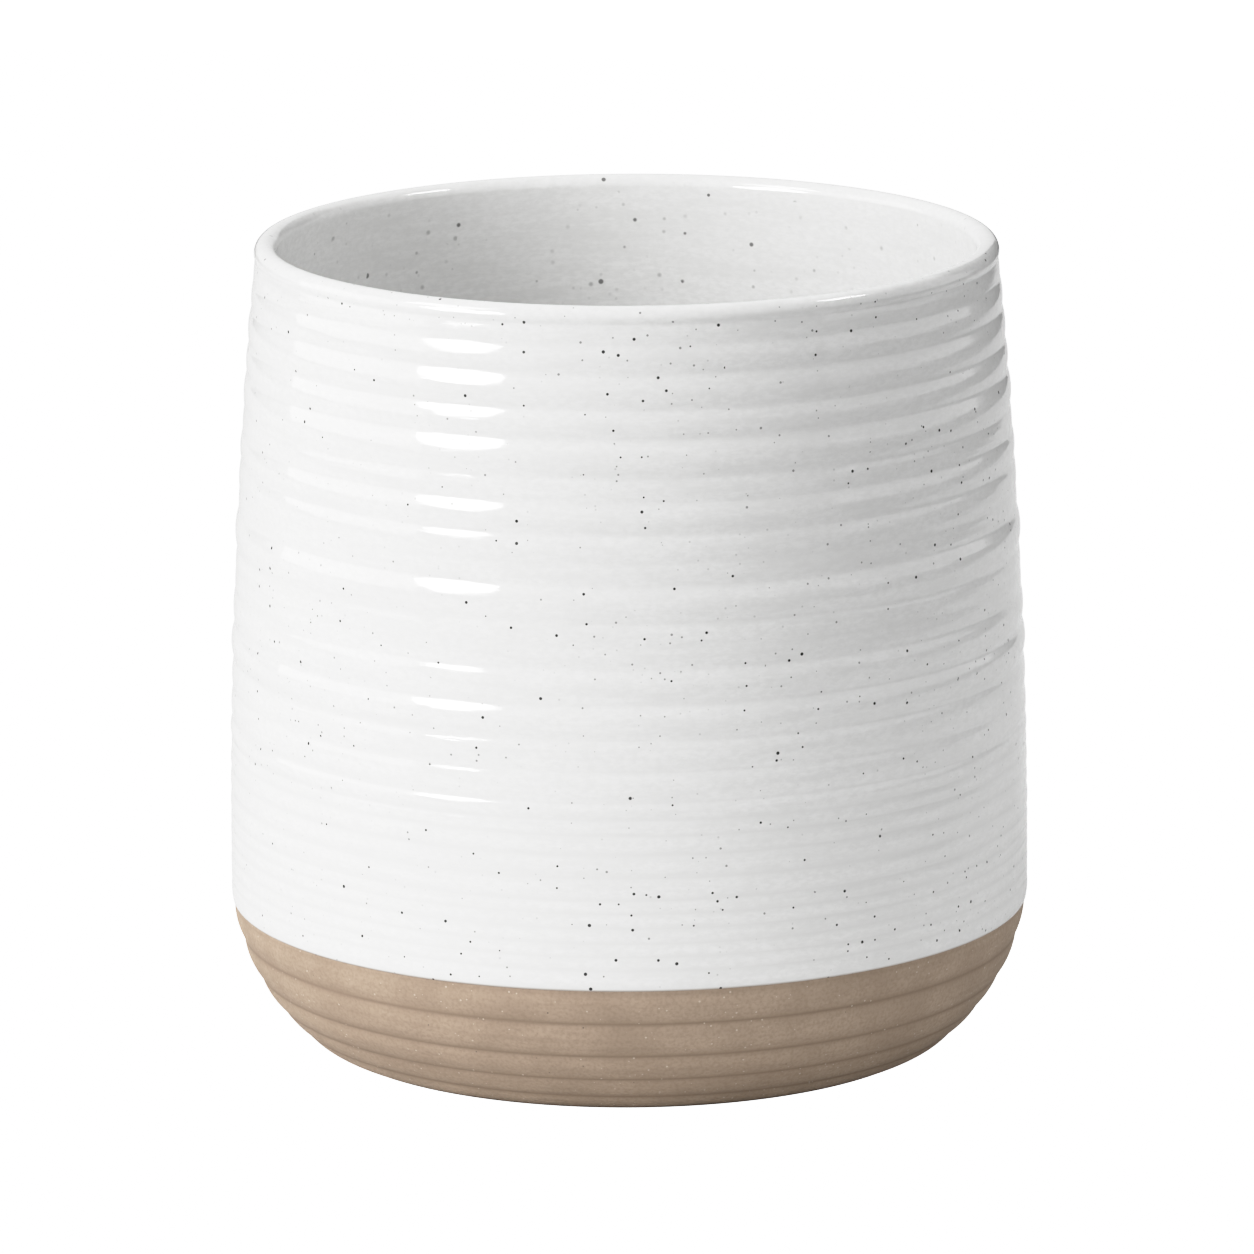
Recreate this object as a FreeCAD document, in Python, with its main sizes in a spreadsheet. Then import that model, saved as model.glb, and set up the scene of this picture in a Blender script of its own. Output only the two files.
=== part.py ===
"""Utensil crock: a wheel-thrown stoneware pot with one coat of glaze outside and one inside.

Lengths are in millimetres. +Z is up, and the origin is the centre of the foot, on the table.
The pot is one fired piece of clay. The glaze is glass that was melted on to it in two coats.
The outside coat runs from the lip down to the glaze line, and leaves a band of bare clay above
the foot. The inside coat lines the pot. The coats meet on the crown of the lip.

Each piece is a half section, revolved. The finger hollows in the wall lie on two arcs that stand
upright at the belly, a large one up to the lip and a small one down to the foot, and a rounded
ridge stands between each hollow and the next. Under the outside coat the clay is turned smooth
along those arcs, and the coat carries the ridges.
"""

import FreeCAD
import Part
import Sketcher

import math
import os

DRIVING_SIZES = {
    "height": 167.0,  # table to the top of the glazed lip
    "belly_radius": 82.2,  # clay, in the hollows, where the wall stands upright
    "belly_height": 33.3,
    "foot_inset": 17.8,  # belly to the outer edge of the foot
    "rim_inset": 8.2,  # belly to the centre line of the lip
    "lip_radius": 2.0,  # half the thickness of the clay lip
    "collar_drop": 1.0,  # centre of the lip down to the hollow under it
    "wall_thickness": 4.4,  # clay, at the belly
    "floor_thickness": 6.5,
    "foot_width": 7.5,  # flat ring that the pot stands on
    "foot_recess": 1.6,  # table to the underside of the floor
    "foot_round": 0.7,  # sponged edges of the foot
    "ridge_radius": 12.0,  # rounded ridge between two hollows
    "glaze_drop": 4.2,  # belly down to the glaze line
    "glaze_thickness": 0.35,  # in the hollows
}

# Steps from each hollow to the next, as the hand left them, from the lip down.
GLAZED_STEPS = (
    4.6, 5.7, 6.9, 6.1, 7.3, 5.2, 5.9, 6.1, 4.6, 7.5, 4.8, 4.4, 7.1, 7.0,
    6.6, 6.3, 3.7, 3.0, 3.9, 4.6, 4.5, 2.9, 3.0, 3.0, 3.1, 2.8, 3.9,
)
BARE_STEPS = (7.3, 7.5, 5.8, 4.6, 3.9)

# Formulas that several constraints share.
NO_COAT = "0"
GLAZE_COAT = "Sizes.glaze_thickness"
GLAZE_LINE = "(Sizes.belly_height - Sizes.glaze_drop)"
RIM_RADIUS = "(Sizes.belly_radius - Sizes.rim_inset)"
LIP_HEIGHT = "(Sizes.height - Sizes.glaze_thickness - Sizes.lip_radius)"
COLLAR_HEIGHT = f"({LIP_HEIGHT} - Sizes.collar_drop)"
BOWL_RADIUS = "(Sizes.belly_height^2 + Sizes.foot_inset^2) / (2 * Sizes.foot_inset)"
INNER_RADIUS = "(Sizes.belly_radius - Sizes.wall_thickness)"
FLOOR_HEIGHT = "(Sizes.foot_recess + Sizes.floor_thickness)"

# Numbers of an edge's points in a sketch, and of the sketch's own two axes.
START, END, CENTRE = range(1, 4)
TABLE, AXIS = range(-1, -3, -1)
ORIGIN = (TABLE, START)

QUARTER = math.pi / 2
SAME_PLACE = 1e-6

doc = FreeCAD.newDocument("UtensilCrock")
sheet = doc.addObject("Spreadsheet::Sheet", "Sizes")
for row, (alias, value) in enumerate(DRIVING_SIZES.items(), start=1):
    sheet.set(f"A{row}", alias.replace("_", " "))
    sheet.set(f"B{row}", str(value))
    sheet.setAlias(f"B{row}", alias)
doc.recompute()


def size(alias):
    return float(sheet.get(alias))


def upright_arc_radius(lean, rise):
    """Radius of an arc that starts upright and leans over by so much in so high a rise."""
    return (rise**2 + lean**2) / (2 * lean)


class Wall:
    """Where the wall's lines run, on the bare clay or on a coat of glaze that lies on it.

    These figures place the lines of a sketch. Its constraints hold them to the sheet.
    """

    def __init__(self, coat):
        self.coat = coat
        self.thickness = 0.0 if coat == NO_COAT else size("glaze_thickness")
        self.belly_height = size("belly_height")
        self.belly_radius = size("belly_radius") + self.thickness
        self.bowl_arc = upright_arc_radius(size("foot_inset"), self.belly_height) + self.thickness
        self.line_height = self.belly_height - size("glaze_drop") + self.thickness
        self.rim_radius = size("belly_radius") - size("rim_inset")
        self.lip_radius = size("lip_radius") + self.thickness
        self.lip_height = size("height") - size("glaze_thickness") - size("lip_radius")
        self.collar_angle = -math.asin(size("collar_drop") / self.lip_radius)
        self.collar_height = self.lip_height - size("collar_drop")
        collar_radius = self.rim_radius + self.lip_radius * math.cos(self.collar_angle)
        rise = self.collar_height - self.belly_height
        self.upper_arc = upright_arc_radius(self.belly_radius - collar_radius, rise)
        self.inner_radius = size("belly_radius") - size("wall_thickness") - self.thickness
        self.floor_height = size("foot_recess") + size("floor_thickness") + self.thickness

    def arc_at(self, height):
        return self.upper_arc if height > self.belly_height else self.bowl_arc

    def hollow(self, height):
        """The point at this height on the two arcs."""
        arc = self.arc_at(height)
        return (self.belly_radius - arc + math.sqrt(arc**2 - (height - self.belly_height) ** 2), height)

    def angle(self, height):
        """The angle at which the point at this height stands on its arc."""
        return math.asin((height - self.belly_height) / self.arc_at(height))


class Section:
    """A half section on the XZ plane of a body: x is the radius and y the height."""

    def __init__(self, body):
        self.body = body
        self.sketch = body.newObject("Sketcher::SketchObject", f"{body.Label}_section")
        planes = [plane for plane in body.Origin.OriginFeatures if plane.Role == "XZ_Plane"]
        self.sketch.AttachmentSupport = [(planes[0], "")]
        self.sketch.MapMode = "FlatFace"
        self.edges = []
        self.constraints = []
        self.formulas = {}

    def line(self, start, end):
        segment = Part.LineSegment(FreeCAD.Vector(*start, 0), FreeCAD.Vector(*end, 0))
        self.edges.append(self.sketch.addGeometry(segment, False))
        return self.edges[-1]

    def arc(self, centre, radius, first, last, guide=False):
        """An arc between two angles. A guide carries points, and isn't part of the outline."""
        circle = Part.Circle(FreeCAD.Vector(*centre, 0), FreeCAD.Vector(0, 0, 1), radius)
        self.edges.append(self.sketch.addGeometry(Part.ArcOfCircle(circle, first, last), guide))
        return self.edges[-1]

    def bulge(self, start, end, radius):
        """A shallow arc from one point to another that bulges to the right of the way there."""
        across, up = end[0] - start[0], end[1] - start[1]
        half_angle = math.asin(math.hypot(across, up) / 2 / radius)
        middle = math.atan2(up, across) - QUARTER
        reach = radius * math.cos(half_angle)
        centre = (
            (start[0] + end[0]) / 2 - reach * math.cos(middle),
            (start[1] + end[1]) / 2 - reach * math.sin(middle),
        )
        return self.arc(centre, radius, middle - half_angle, middle + half_angle)

    def fix(self, kind, *places):
        numbers = [number for place in places for number in place]
        self.constraints.append(Sketcher.Constraint(kind, *numbers))

    def bind(self, kind, place, value, formula):
        """A constraint whose value follows a formula of the sheet's cells."""
        self.formulas[len(self.constraints)] = formula
        self.constraints.append(Sketcher.Constraint(kind, *place, value))

    def radius(self, edge, formula):
        self.bind("Radius", (edge,), self.sketch.Geometry[edge].Radius, formula)

    def out(self, edge, point, formula):
        """Holds a point at a distance from the pot's axis."""
        self.bind("DistanceX", (*ORIGIN, edge, point), self.sketch.getPoint(edge, point).x, formula)

    def up(self, edge, point, formula):
        """Holds a point at a height above the table."""
        self.bind("DistanceY", (*ORIGIN, edge, point), self.sketch.getPoint(edge, point).y, formula)

    def join(self):
        """Joins the ends of edges that lie at the same place."""
        ends = []
        for end in [(edge, point) for edge in self.edges for point in (START, END)]:
            place = self.sketch.getPoint(*end)
            partners = [other for other in ends if self.sketch.getPoint(*other).isEqual(place, SAME_PLACE)]
            for partner in partners[:1]:
                self.fix("Coincident", end, partner)
            ends.append(end)

    def revolve(self):
        """Joins the outline, ties it to the sheet and turns it about the pot's axis."""
        self.join()
        self.sketch.addConstraint(self.constraints)
        for index, formula in self.formulas.items():
            self.sketch.setExpression(f"Constraints[{index}]", formula)
        turned = self.body.newObject("PartDesign::Revolution", f"{self.body.Label}_turned")
        turned.Profile = self.sketch
        turned.ReferenceAxis = (self.sketch, ["V_Axis"])
        turned.Angle = 360
        doc.recompute()
        return turned


def hollow_levels(steps, low, high):
    """Heights of a run of hollows, each with its formula, from the bottom up."""
    levels = [low]
    share = 0.0
    for step in reversed(steps):
        share += step / sum(steps)
        height = low[0] + share * (high[0] - low[0])
        levels.append((height, f"{low[1]} + {share:.6f} * ({high[1]} - {low[1]})"))
    return levels


def draw_wall(section, wall, guide=False):
    """The two arcs, from the glaze line up to the belly and on to the collar."""
    low_centre = (wall.belly_radius - wall.bowl_arc, wall.belly_height)
    bowl = section.arc(low_centre, wall.bowl_arc, wall.angle(wall.line_height), 0, guide)
    section.radius(bowl, f"{BOWL_RADIUS} + {wall.coat}")
    section.up(bowl, START, f"{GLAZE_LINE} + {wall.coat}")
    section.out(bowl, END, f"Sizes.belly_radius + {wall.coat}")
    section.up(bowl, END, "Sizes.belly_height")
    section.fix("Horizontal", (bowl, CENTRE), (bowl, END))
    far_centre = (wall.belly_radius - wall.upper_arc, wall.belly_height)
    upper = section.arc(far_centre, wall.upper_arc, 0, wall.angle(wall.collar_height), guide)
    section.fix("Horizontal", (upper, CENTRE), (upper, START))
    return bowl, upper


def draw_ridges(section, wall, levels, bowl, upper):
    """A ridge from each hollow to the next. The hollows between them lie on the wall's arcs."""
    for (low, formula), (high, _) in zip(levels, levels[1:]):
        ridge = section.bulge(wall.hollow(low), wall.hollow(high), size("ridge_radius"))
        section.radius(ridge, "Sizes.ridge_radius")
        if low != levels[0][0]:
            section.up(ridge, START, formula)
            section.fix("PointOnObject", (ridge, START), (upper if low > wall.belly_height else bowl,))


def draw_lip(section, wall, first, last):
    """The round of the lip, about the rim's centre line, between two angles."""
    lip = section.arc((wall.rim_radius, wall.lip_height), wall.lip_radius, first, last)
    section.radius(lip, f"Sizes.lip_radius + {wall.coat}")
    section.out(lip, CENTRE, RIM_RADIUS)
    section.up(lip, CENTRE, LIP_HEIGHT)
    return lip


def draw_lip_outside(section, wall, last):
    """The lip from the collar round to an angle."""
    lip = draw_lip(section, wall, wall.collar_angle, last)
    section.up(lip, START, COLLAR_HEIGHT)
    return lip


def draw_lining(section, wall):
    """The smooth inside: a wall that stands upright at the belly, a round corner and a flat floor."""
    rise = wall.lip_height - wall.belly_height
    arc = upright_arc_radius(wall.inner_radius - wall.rim_radius + wall.lip_radius, rise)
    side = section.arc((wall.inner_radius - arc, wall.belly_height), arc, 0, math.asin(rise / arc))
    section.fix("Horizontal", (side, CENTRE), (side, START))
    section.out(side, START, f"{INNER_RADIUS} - {wall.coat}")
    section.up(side, START, "Sizes.belly_height")

    corner_radius = wall.belly_height - wall.floor_height
    floor_radius = wall.inner_radius - corner_radius
    corner = section.arc((floor_radius, wall.belly_height), corner_radius, -QUARTER, 0)
    section.fix("Vertical", (corner, CENTRE), (corner, START))
    section.fix("Horizontal", (corner, CENTRE), (corner, END))

    floor = section.line((0, wall.floor_height), (floor_radius, wall.floor_height))
    section.fix("PointOnObject", (floor, START), (AXIS,))
    section.fix("Horizontal", (floor,))
    section.up(floor, START, f"{FLOOR_HEIGHT} + {wall.coat}")


def draw_foot(section, outer):
    """The flat ring that stands on the table, out to a radius, and the coved recess inside it."""
    inner = outer - size("foot_width")
    recess = size("foot_recess")
    ring = section.line((inner, 0), (outer, 0))
    section.fix("PointOnObject", (ring, START), (TABLE,))
    section.fix("Horizontal", (ring,))
    section.bind("DistanceX", (ring, START, ring, END), size("foot_width"), "Sizes.foot_width")
    cove = section.arc((inner - recess, 0), recess, 0, QUARTER)
    section.fix("PointOnObject", (cove, CENTRE), (TABLE,))
    section.fix("Vertical", (cove, CENTRE), (cove, END))
    underside = section.line((0, recess), (inner - recess, recess))
    section.fix("PointOnObject", (underside, START), (AXIS,))
    section.fix("Horizontal", (underside,))
    section.up(underside, START, "Sizes.foot_recess")
    return ring


def make_stoneware_body():
    """The clay: foot, ridged bare band, smooth wall under the coat, lip and inside."""
    body = doc.addObject("PartDesign::Body", "stoneware_body")
    section = Section(body)
    clay = Wall(NO_COAT)
    bowl, upper = draw_wall(section, clay)
    ring = draw_foot(section, clay.hollow(0)[0])
    section.fix("PointOnObject", (ring, END), (bowl,))
    levels = hollow_levels(BARE_STEPS, (0.0, "0"), (clay.line_height, GLAZE_LINE))
    draw_ridges(section, clay, levels, bowl, upper)
    lip = draw_lip_outside(section, clay, math.pi)
    section.fix("Horizontal", (lip, CENTRE), (lip, END))
    draw_lining(section, clay)
    section.line((0, size("foot_recess")), (0, clay.floor_height))
    sponge_foot(body, section.revolve())
    return body


def sponge_foot(body, turned):
    """Rounds both edges of the ring that stands on the table."""
    edges = [f"Edge{n}" for n, edge in enumerate(turned.Shape.Edges, start=1) if on_table(edge)]
    sponged = body.newObject("PartDesign::Fillet", "sponged_foot")
    sponged.Base = (turned, edges)
    sponged.setExpression("Radius", "Sizes.foot_round")


def on_table(edge):
    return max(abs(edge.BoundBox.ZMin), abs(edge.BoundBox.ZMax)) < SAME_PLACE


def make_outside_glaze():
    """The ridged coat, from the crown of the lip down to its rounded edge at the glaze line."""
    body = doc.addObject("PartDesign::Body", "outside_glaze")
    section = Section(body)
    clay, glaze = Wall(NO_COAT), Wall(GLAZE_COAT)
    draw_wall(section, clay)
    bowl, upper = draw_wall(section, glaze, guide=True)
    line = (glaze.line_height, f"({GLAZE_LINE} + {GLAZE_COAT})")
    levels = hollow_levels(GLAZED_STEPS, line, (glaze.collar_height, COLLAR_HEIGHT))
    draw_ridges(section, glaze, levels, bowl, upper)
    for wall in (clay, glaze):
        lip = draw_lip_outside(section, wall, QUARTER)
        section.fix("Vertical", (lip, CENTRE), (lip, END))
    section.line(*[(wall.rim_radius, wall.lip_height + wall.lip_radius) for wall in (clay, glaze)])
    edge = section.bulge(clay.hollow(clay.line_height), glaze.hollow(glaze.line_height), glaze.thickness)
    section.radius(edge, GLAZE_COAT)
    section.revolve()
    return body


def make_inside_glaze():
    """The lining, from the crown of the lip down the wall and over the floor."""
    body = doc.addObject("PartDesign::Body", "inside_glaze")
    section = Section(body)
    walls = (Wall(NO_COAT), Wall(GLAZE_COAT))
    for wall in walls:
        lip = draw_lip(section, wall, QUARTER, math.pi)
        section.fix("Vertical", (lip, CENTRE), (lip, START))
        section.fix("Horizontal", (lip, CENTRE), (lip, END))
        draw_lining(section, wall)
    section.line(*[(wall.rim_radius, wall.lip_height + wall.lip_radius) for wall in walls])
    section.line(*[(0, wall.floor_height) for wall in walls])
    section.revolve()
    return body


def check(bodies):
    """Stops unless every object built and each piece is one closed, valid solid."""
    for thing in doc.Objects:
        if "Invalid" in thing.State or "Error" in thing.State:
            raise RuntimeError(f"{thing.Label} failed to build: {thing.State}")
    for body in bodies:
        shape = body.Shape
        if shape.isNull() or not shape.isValid() or len(shape.Solids) != 1:
            raise RuntimeError(f"{body.Label} is not one valid solid")


def main():
    bodies = [make_stoneware_body(), make_outside_glaze(), make_inside_glaze()]
    doc.recompute()
    check(bodies)
    os.makedirs("parts", exist_ok=True)
    for body in bodies:
        body.Shape.exportStep(f"parts/{body.Label}.step")
        print(f"{body.Label}: {body.Shape.Volume:.0f} cubic millimetres")


main()
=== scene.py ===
"""Utensil crock: the looks of a wheel-thrown stoneware pot with a speckled white glaze.

Three pieces stand for the three solids: the clay, the coat outside and the coat inside. Each is a
surface over a grid of profile point and turn angle, with the small wander of a hand-thrown wall.
Lengths are in metres, +Z is up, and the origin is the centre of the foot.
"""

import math

import bpy
import numpy as np
from bpy.props import FloatProperty, FloatVectorProperty, IntProperty, PointerProperty
from mathutils import Euler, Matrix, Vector


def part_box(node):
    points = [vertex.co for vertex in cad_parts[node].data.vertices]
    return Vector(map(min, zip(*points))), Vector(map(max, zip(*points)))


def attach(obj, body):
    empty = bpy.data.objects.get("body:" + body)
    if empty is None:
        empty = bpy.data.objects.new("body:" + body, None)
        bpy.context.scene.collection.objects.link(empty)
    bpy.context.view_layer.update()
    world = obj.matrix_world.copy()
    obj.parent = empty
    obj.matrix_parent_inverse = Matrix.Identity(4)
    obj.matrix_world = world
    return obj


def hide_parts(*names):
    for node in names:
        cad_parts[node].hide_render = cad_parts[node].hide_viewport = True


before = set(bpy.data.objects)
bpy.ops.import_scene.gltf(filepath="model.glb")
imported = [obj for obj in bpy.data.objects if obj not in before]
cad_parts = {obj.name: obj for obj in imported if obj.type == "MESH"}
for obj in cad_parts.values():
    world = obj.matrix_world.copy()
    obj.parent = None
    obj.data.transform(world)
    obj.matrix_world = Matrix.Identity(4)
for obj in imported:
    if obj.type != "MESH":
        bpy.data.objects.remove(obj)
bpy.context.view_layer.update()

bl_info = {
    "name": "Utensil crock",
    "version": (1, 0, 0),
    "blender": (4, 5, 0),
    "location": "View3D > Sidebar > Crock",
    "description": "Builds a wheel-thrown stoneware crock over its solids",
    "category": "Object",
}

GLAZE_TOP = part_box("outside_glaze")[1].z

MM = 0.001
FULL_TURN = 2 * math.pi
# Points round the pot, and from one finger hollow to the next.
TURN_STEPS = 256
RING_STEPS = 12
# Where the rows of points stop short of the axis.
POLE_RADIUS = 1 * MM
# Angle of the top of the lip, and how far past it a coat sinks to the clay, in degrees.
CROWN = 90
TUCK = 40
# Gap between a coat's hidden face and the clay, as a share of the coat's thickness.
STAND_OFF = 0.1
# How much a ridge grows and shrinks round the pot.
STRENGTH_WANDER = 0.18

# Steps from each finger hollow to the next, from the lip down, of which only the ratios count, and
# how proud each ridge stands.
GLAZED_STEPS = (
    4.6, 5.7, 6.9, 6.1, 7.3, 5.2, 5.9, 6.1, 4.6, 7.5, 4.8, 4.4, 7.1, 7.0,
    6.6, 6.3, 3.7, 3.0, 3.9, 4.6, 4.5, 2.9, 3.0, 3.0, 3.1, 2.8, 3.9,
)
GLAZED_STRENGTHS = (
    0.2, 0.8, 0.86, 0.95, 0.82, 0.45, 0.95, 0.65, 0.35, 0.88, 0.5, 0.4, 0.8, 1.25,
    0.78, 0.78, 2.0, 1.4, 1.2, 1.05, 1.0, 1.5, 1.4, 1.35, 1.25, 1.25, 1.1,
)
BARE_STEPS = (7.3, 7.5, 5.8, 4.6, 3.9)
BARE_STRENGTHS = (1.0, 1.0, 1.0, 1.0, 1.0)


class CrockShape(bpy.types.PropertyGroup):
    """Sizes of the thrown pot. Radii are from the axis that it turned on."""

    height: FloatProperty(
        name="Height", description="Table to the top of the glazed lip", default=GLAZE_TOP, unit="LENGTH"
    )
    belly_radius: FloatProperty(
        name="Belly radius", description="Clay in the hollows at the belly", default=0.0822, unit="LENGTH"
    )
    belly_height: FloatProperty(
        name="Belly height", description="Where the wall stands upright", default=0.0333, unit="LENGTH"
    )
    foot_inset: FloatProperty(
        name="Foot inset", description="Belly to the outer edge of the foot", default=0.0178, unit="LENGTH"
    )
    rim_inset: FloatProperty(
        name="Rim inset", description="Belly to the centre line of the lip", default=0.0082, unit="LENGTH"
    )
    lip_radius: FloatProperty(
        name="Lip radius", description="Half the thickness of the clay lip", default=0.0020, unit="LENGTH"
    )
    collar_drop: FloatProperty(
        name="Collar drop", description="Lip centre to the hollow under it", default=0.0010, unit="LENGTH"
    )
    wall_thickness: FloatProperty(
        name="Wall thickness", description="Clay at the belly", default=0.0044, unit="LENGTH"
    )
    floor_thickness: FloatProperty(
        name="Floor thickness", description="Clay under the inside floor", default=0.0065, unit="LENGTH"
    )
    foot_width: FloatProperty(
        name="Foot width", description="Flat ring that the pot stands on", default=0.0075, unit="LENGTH"
    )
    foot_recess: FloatProperty(
        name="Foot recess", description="Table to the underside", default=0.0016, unit="LENGTH"
    )
    foot_round: FloatProperty(
        name="Foot round", description="Sponged edges of the foot", default=0.0007, unit="LENGTH"
    )
    ridge_radius: FloatProperty(
        name="Ridge radius", description="Round of the ridge between two hollows",
        default=0.0120, unit="LENGTH",
    )
    glaze_drop: FloatProperty(
        name="Glaze drop", description="Belly down to the glaze line", default=0.0042, unit="LENGTH"
    )
    glaze_thickness: FloatProperty(
        name="Glaze thickness", description="Coat in the hollows", default=0.00035, unit="LENGTH"
    )
    sway: FloatProperty(
        name="Ring sway", description="How far a hollow strays up and down", default=0.00028, unit="LENGTH"
    )
    wheel_lines: FloatProperty(
        name="Wheel lines", description="Height of the fine lines on the rings",
        default=0.000014, unit="LENGTH",
    )
    hand: IntProperty(name="Hand", description="Seed of the small wander of the rings", default=11)


class CrockFinish(bpy.types.PropertyGroup):
    """Colours and gloss of the clay and the glaze."""

    glaze: FloatVectorProperty(
        name="Glaze", description="White glaze", subtype="COLOR", size=3, default=(0.828, 0.828, 0.823)
    )
    # Greyer grain of the glaze, and also painted shade in the hollows of the outside coat.
    glaze_shade: FloatVectorProperty(
        name="Glaze shade", description="Greyer grain, and where it pools", subtype="COLOR", size=3,
        default=(0.725, 0.725, 0.718),
    )
    speck: FloatVectorProperty(
        name="Speck", description="Iron speck", subtype="COLOR", size=3, default=(0.016, 0.014, 0.013)
    )
    clay: FloatVectorProperty(
        name="Clay", description="Bare clay", subtype="COLOR", size=3, default=(0.405, 0.312, 0.233)
    )
    # Darker clay for patches, grain, drawn lines and the thin glaze edge, and also painted shade in the
    # grooves.
    clay_dark: FloatVectorProperty(
        name="Dark clay", description="Clay in the hollows and patches", subtype="COLOR", size=3,
        default=(0.236, 0.171, 0.119),
    )
    grog: FloatVectorProperty(
        name="Grog", description="Pale grains in the clay", subtype="COLOR", size=3,
        default=(0.66, 0.58, 0.48),
    )
    glaze_roughness: FloatProperty(
        name="Glaze roughness", description="Roughness of the clear glaze",
        default=0.05, subtype="FACTOR", min=0, max=1,
    )


class CrockStage(bpy.types.PropertyGroup):
    """Floor, light and camera."""

    floor_glow: FloatProperty(
        name="Floor glow", description="How bright the floor looks to the camera", default=1.9, min=0
    )
    table: FloatProperty(
        name="Table", description="Shade of the table that sends light up", default=0.74, min=0, max=1
    )
    front_sky: FloatProperty(
        name="Room in front", description="Glow of the room in front at the left", default=0.61, min=0
    )
    back_sky: FloatProperty(
        name="Room behind", description="Glow of the room behind at the right", default=0.84, min=0
    )
    front_low: FloatProperty(
        name="Below in front", description="Glow under the horizon, front left", default=0.15, min=0
    )
    back_low: FloatProperty(
        name="Below behind", description="Glow under the horizon, back right", default=0.08, min=0
    )
    key: FloatProperty(
        name="Round light", description="Watts of the round soft light", default=12.5, min=0
    )
    left: FloatProperty(
        name="Left light", description="Watts of the high light at the left", default=11.5, min=0
    )
    back: FloatProperty(
        name="Back light", description="Watts of the panel above and behind", default=2.5, min=0
    )
    shine: FloatProperty(
        name="Round shine", description="Glow of the round light in the gloss", default=34, min=0
    )
    glint: FloatProperty(
        name="Side shine", description="Glow of the small right light in the gloss", default=25, min=0
    )
    left_window: FloatProperty(
        name="Left window", description="Glow of the left panel in the gloss", default=3.4, min=0
    )
    right_window: FloatProperty(
        name="Right window", description="Glow of the right panel in the gloss", default=1.35, min=0
    )
    distance: FloatProperty(
        name="Camera distance", description="From the axis", default=1.9722, unit="LENGTH"
    )
    eye_height: FloatProperty(
        name="Camera height", description="Above the floor", default=0.5333, unit="LENGTH"
    )
    aim_height: FloatProperty(
        name="Aim height", description="Point looked at", default=0.0851, unit="LENGTH"
    )
    roll: FloatProperty(
        name="Roll", description="Turn about the view line", default=-0.0049, unit="ROTATION"
    )
    lens: FloatProperty(
        name="Lens", description="Focal length in millimetres", default=281.0, unit="CAMERA"
    )


def arc_radius(lean, rise):
    """Radius of an arc that starts upright and leans over by so much in so high a rise."""
    return (rise**2 + lean**2) / (2 * lean)


def rim_radius(shape):
    return shape.belly_radius - shape.rim_inset


def lip_height(shape):
    return shape.height - shape.glaze_thickness - shape.lip_radius


def glaze_line(shape):
    return shape.belly_height - shape.glaze_drop


def floor_height(shape):
    return shape.foot_recess + shape.floor_thickness


def wall_radius(shape, height, coat):
    """Radius of the line through the hollows at a height.

    The line is two arcs that stand upright at the belly. The upper one leans in to the collar under
    the lip, and the lower one to the foot. A coat moves both outwards.
    """
    belly = shape.belly_radius + coat
    bowl = arc_radius(shape.foot_inset, shape.belly_height) + coat
    collar = rim_radius(shape) + math.sqrt((shape.lip_radius + coat) ** 2 - shape.collar_drop**2)
    rise = lip_height(shape) - shape.collar_drop - shape.belly_height
    upper = arc_radius(belly - collar, rise)
    arc = np.where(height > shape.belly_height, upper, bowl)
    return belly - arc + np.sqrt(arc**2 - (height - shape.belly_height) ** 2)


def lining_radius(shape, height, coat):
    """Radius of the inside wall at a height above the belly: an arc from the belly to the lip."""
    belly = shape.belly_radius - shape.wall_thickness - coat
    lip = rim_radius(shape) - shape.lip_radius - coat
    arc = arc_radius(belly - lip, lip_height(shape) - shape.belly_height)
    return belly - arc + np.sqrt(arc**2 - (height - shape.belly_height) ** 2)


def turn_angles():
    return np.arange(TURN_STEPS) * FULL_TURN / TURN_STEPS


def slow_waves(rng, count, turn):
    """One slow wave of the turn angle for each of a count of rings, between about -1 and 1.

    Each is a sum of three sines, once, twice and three times round, with phases of its own.
    """
    waves = np.zeros((count, turn.size))
    for times, share in ((1, 0.5), (2, 0.3), (3, 0.2)):
        phase = rng.uniform(0, FULL_TURN, (count, 1))
        waves += share * np.sin(times * turn[None, :] + phase)
    return waves


def ring_levels(steps, low, high):
    """Heights of the hollows from the bottom up, spaced as the steps are."""
    shares = np.concatenate(([0.0], np.cumsum(steps[::-1]))) / np.sum(steps)
    return low + shares * (high - low)


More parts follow.
